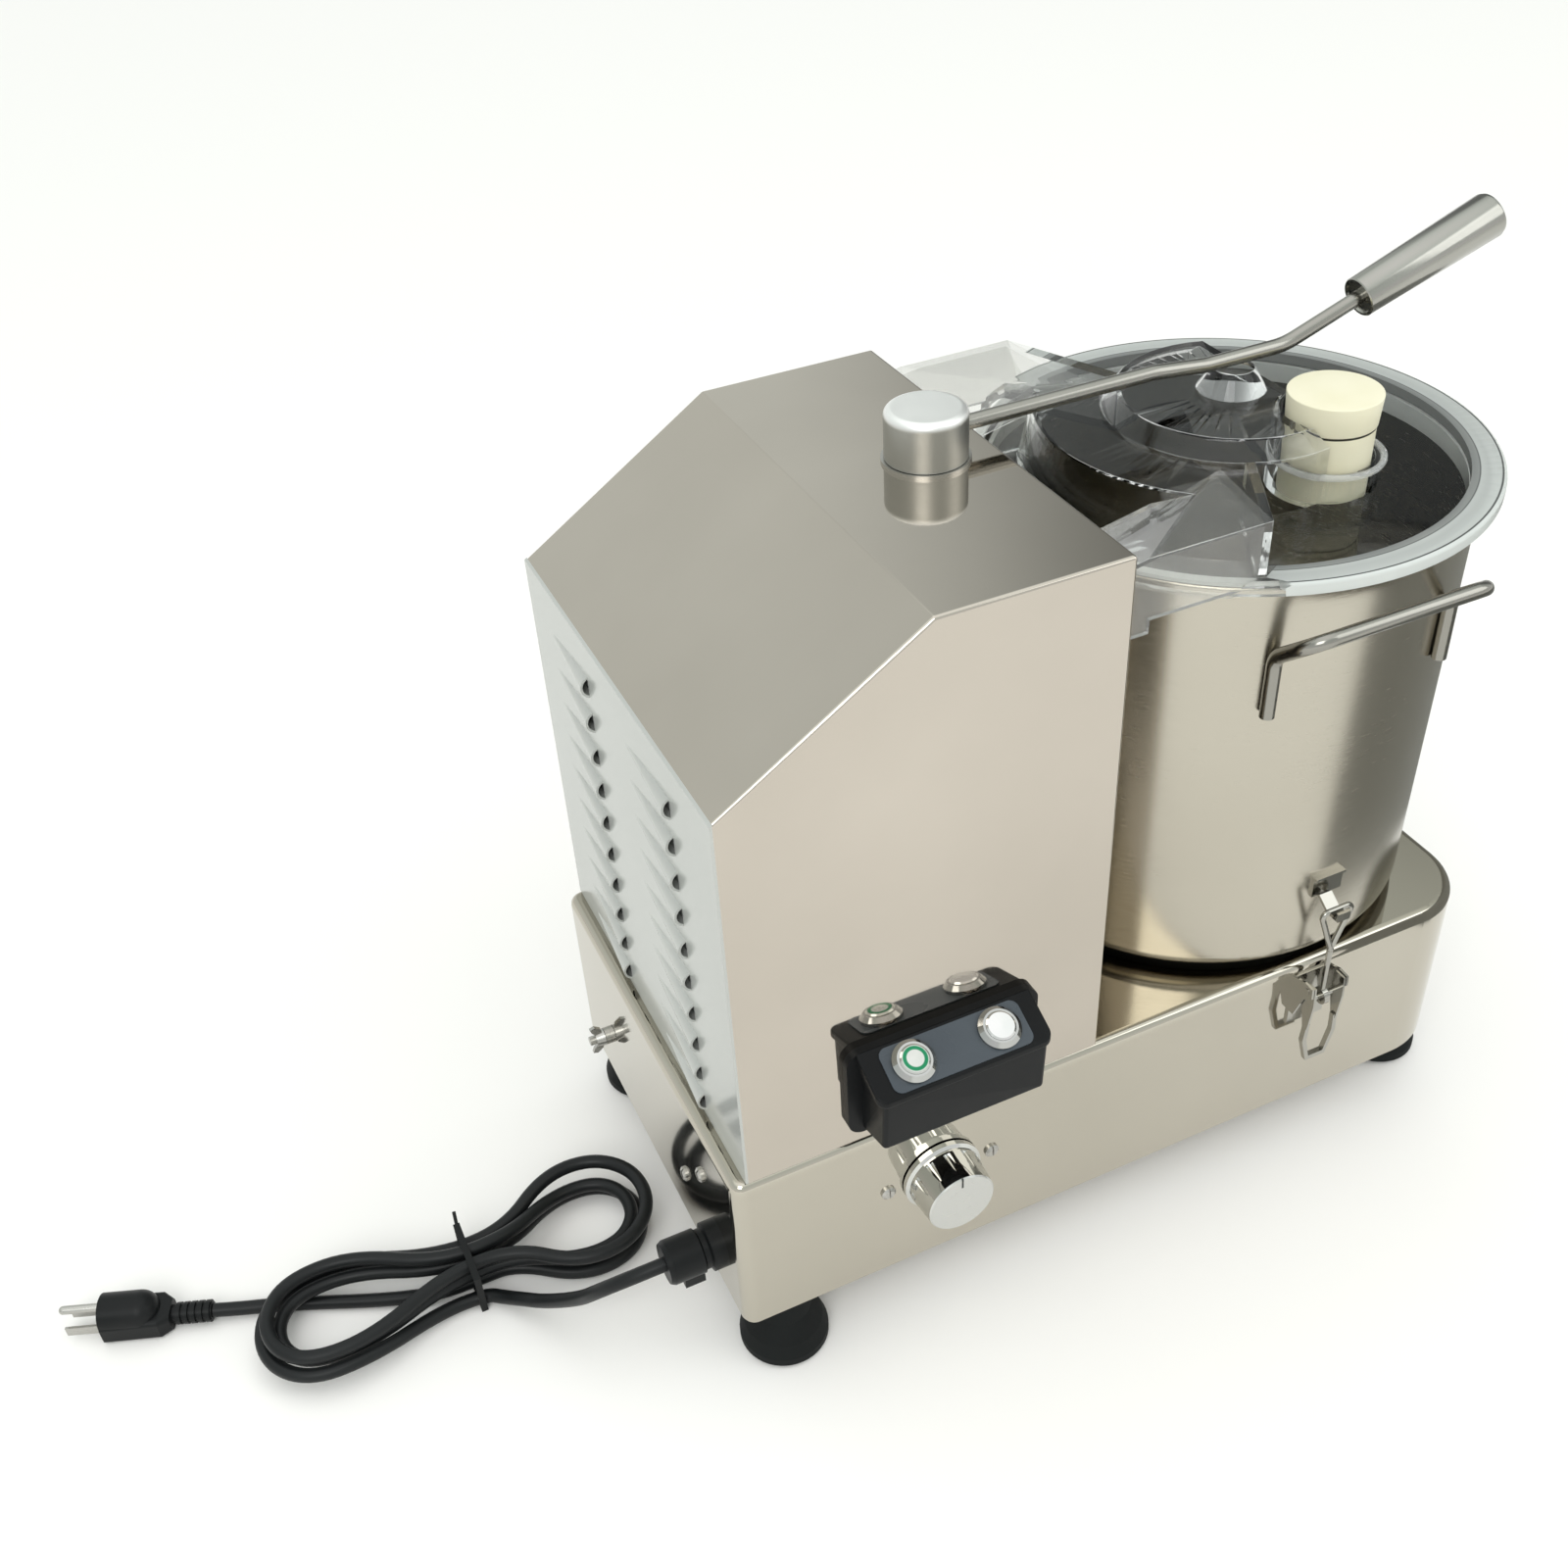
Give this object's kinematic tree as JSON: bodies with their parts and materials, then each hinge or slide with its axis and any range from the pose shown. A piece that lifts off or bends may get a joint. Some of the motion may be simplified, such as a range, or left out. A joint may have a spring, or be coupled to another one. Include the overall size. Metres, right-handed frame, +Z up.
{
  "type": "bowl cutter food chopper",
  "caption": "Countertop stainless bowl cutter: motor housing with a swing-over locking arm beside a lidded chopping bowl on a footed steel base.",
  "frame": {"origin": "on the floor under the middle of the folded steel base", "axes": "+Z up, +X from the motor housing towards the bowl, -Y the side with the buttons and the speed knob"},
  "size_m": [0.8886, 0.314, 0.5388],
  "materials": {
    "polished_steel": "polished",
    "brushed_steel": "brushed",
    "bright_chrome": "polished",
    "turned_aluminium": "satin",
    "clear_plastic": "gloss",
    "seal_silicone": "matte",
    "cream_nylon": "satin",
    "black_plastic": "satin",
    "panel_film": "satin",
    "black_rubber": "matte",
    "cord_jacket": "satin",
    "tie_plastic": "matte",
    "machined_steel": "machined",
    "grey_iron": "machined",
    "bearing_bronze": "machined"
  },
  "bodies": {
    "machine": {"base_shell": "polished_steel", "housing_shell": "polished_steel", "vent_panel": "polished_steel", "bowl": "brushed_steel", "bowl_handle_front": "brushed_steel", "bowl_handle_back": "brushed_steel", "base_plate": "brushed_steel", "button_bezels": "bright_chrome", "latch_bracket_front": "bright_chrome", "latch_bracket_back": "bright_chrome", "keeper_front": "bright_chrome", "keeper_back": "bright_chrome", "motor_body": "turned_aluminium", "bearing_housing": "turned_aluminium", "speed_board": "turned_aluminium", "lid": "clear_plastic", "lid_seal": "seal_silicone", "control_box": "black_plastic", "cable_gland": "black_plastic", "interlock_switch": "black_plastic", "potentiometer": "black_plastic", "mains_plug": "black_plastic", "control_panel": "panel_film", "rubber_feet": "black_rubber", "bowl_seat": "black_rubber", "drive_belt": "black_rubber", "cord_lead": "cord_jacket", "cord_hank": "cord_jacket", "cord_tail": "cord_jacket", "cord_tie": "tie_plastic", "motor_plate": "machined_steel", "spindle_bearings": "machined_steel", "foot_screws": "machined_steel", "case_screws": "machined_steel", "earth_stud": "machined_steel", "wing_nut": "machined_steel", "plug_blades": "machined_steel", "arm_bush": "bearing_bronze"},
    "arm": {"arm_cap": "turned_aluminium", "arm_rod": "brushed_steel", "arm_handle": "brushed_steel", "arm_shaft": "machined_steel"},
    "stopper": {"feed_stopper": "cream_nylon"},
    "start_push": {"start_button": "bright_chrome"},
    "stop_push": {"stop_button": "bright_chrome"},
    "knob": {"speed_knob": "bright_chrome"},
    "blade_set": {"spindle_shaft": "machined_steel", "spindle_pulley": "grey_iron", "blade_hub": "machined_steel", "lower_blade": "machined_steel", "upper_blade": "machined_steel", "blade_spacer": "turned_aluminium", "blade_cap": "machined_steel"},
    "motor_rotor": {"motor_shaft": "machined_steel", "motor_pulley": "grey_iron", "motor_fan": "turned_aluminium"},
    "front_lever": {"latch_lever_front": "bright_chrome"},
    "front_bail": {"latch_bail_front": "bright_chrome"},
    "back_lever": {"latch_lever_back": "bright_chrome"},
    "back_bail": {"latch_bail_back": "bright_chrome"}
  },
  "joints": [
    {"name": "arm_swing", "type": "hinge", "parent": "machine", "child": "arm", "pos_m": [-0.062, 0, 0.4735], "axis": [0, 0, 1], "range_deg": [0, 100]},
    {"name": "stopper_lift", "type": "slide", "parent": "machine", "child": "stopper", "axis": [0, 0, 1], "range_m": [0, 0.045]},
    {"name": "start_press", "type": "slide", "parent": "machine", "child": "start_push", "axis": [0, 0.4226, -0.9063], "range_m": [0, 0.0025], "stiffness_N_per_m": 500, "springref_m": -0.002},
    {"name": "stop_press", "type": "slide", "parent": "machine", "child": "stop_push", "axis": [0, 0.4226, -0.9063], "range_m": [0, 0.0025], "stiffness_N_per_m": 500, "springref_m": -0.002},
    {"name": "knob_turn", "type": "hinge", "parent": "machine", "child": "knob", "pos_m": [-0.1255, -0.132, 0.1115], "axis": [0, -1, 0], "range_deg": [-135, 135]},
    {"name": "blade_spin", "type": "hinge", "parent": "machine", "child": "blade_set", "pos_m": [0.1204, 0, 0.2], "axis": [0, 0, 1], "continuous": true},
    {"name": "motor_spin", "type": "hinge", "parent": "machine", "child": "motor_rotor", "pos_m": [-0.15, 0, 0.2], "axis": [0, 0, 1], "continuous": true},
    {"name": "front_latch_lever", "type": "hinge", "parent": "machine", "child": "front_lever", "pos_m": [0.1204, -0.145, 0.154], "axis": [-1, 0, 0], "range_deg": [0, 90]},
    {"name": "front_latch_bail", "type": "hinge", "parent": "front_lever", "child": "front_bail", "pos_m": [0.1204, -0.14361, 0.1441], "axis": [-1, 0, 0], "range_deg": [-80, 0]},
    {"name": "back_latch_lever", "type": "hinge", "parent": "machine", "child": "back_lever", "pos_m": [0.1204, 0.145, 0.154], "axis": [1, 0, 0], "range_deg": [0, 90]},
    {"name": "back_latch_bail", "type": "hinge", "parent": "back_lever", "child": "back_bail", "pos_m": [0.1204, 0.14361, 0.1441], "axis": [1, 0, 0], "range_deg": [-80, 0]}
  ],
  "couplings": [
    {"joint": "motor_spin", "follows": "blade_spin", "ratio": 1.4643},
    {"joint": "front_latch_bail", "follows": "front_latch_lever", "ratio": -0.881},
    {"joint": "back_latch_bail", "follows": "back_latch_lever", "ratio": -0.881}
  ]
}
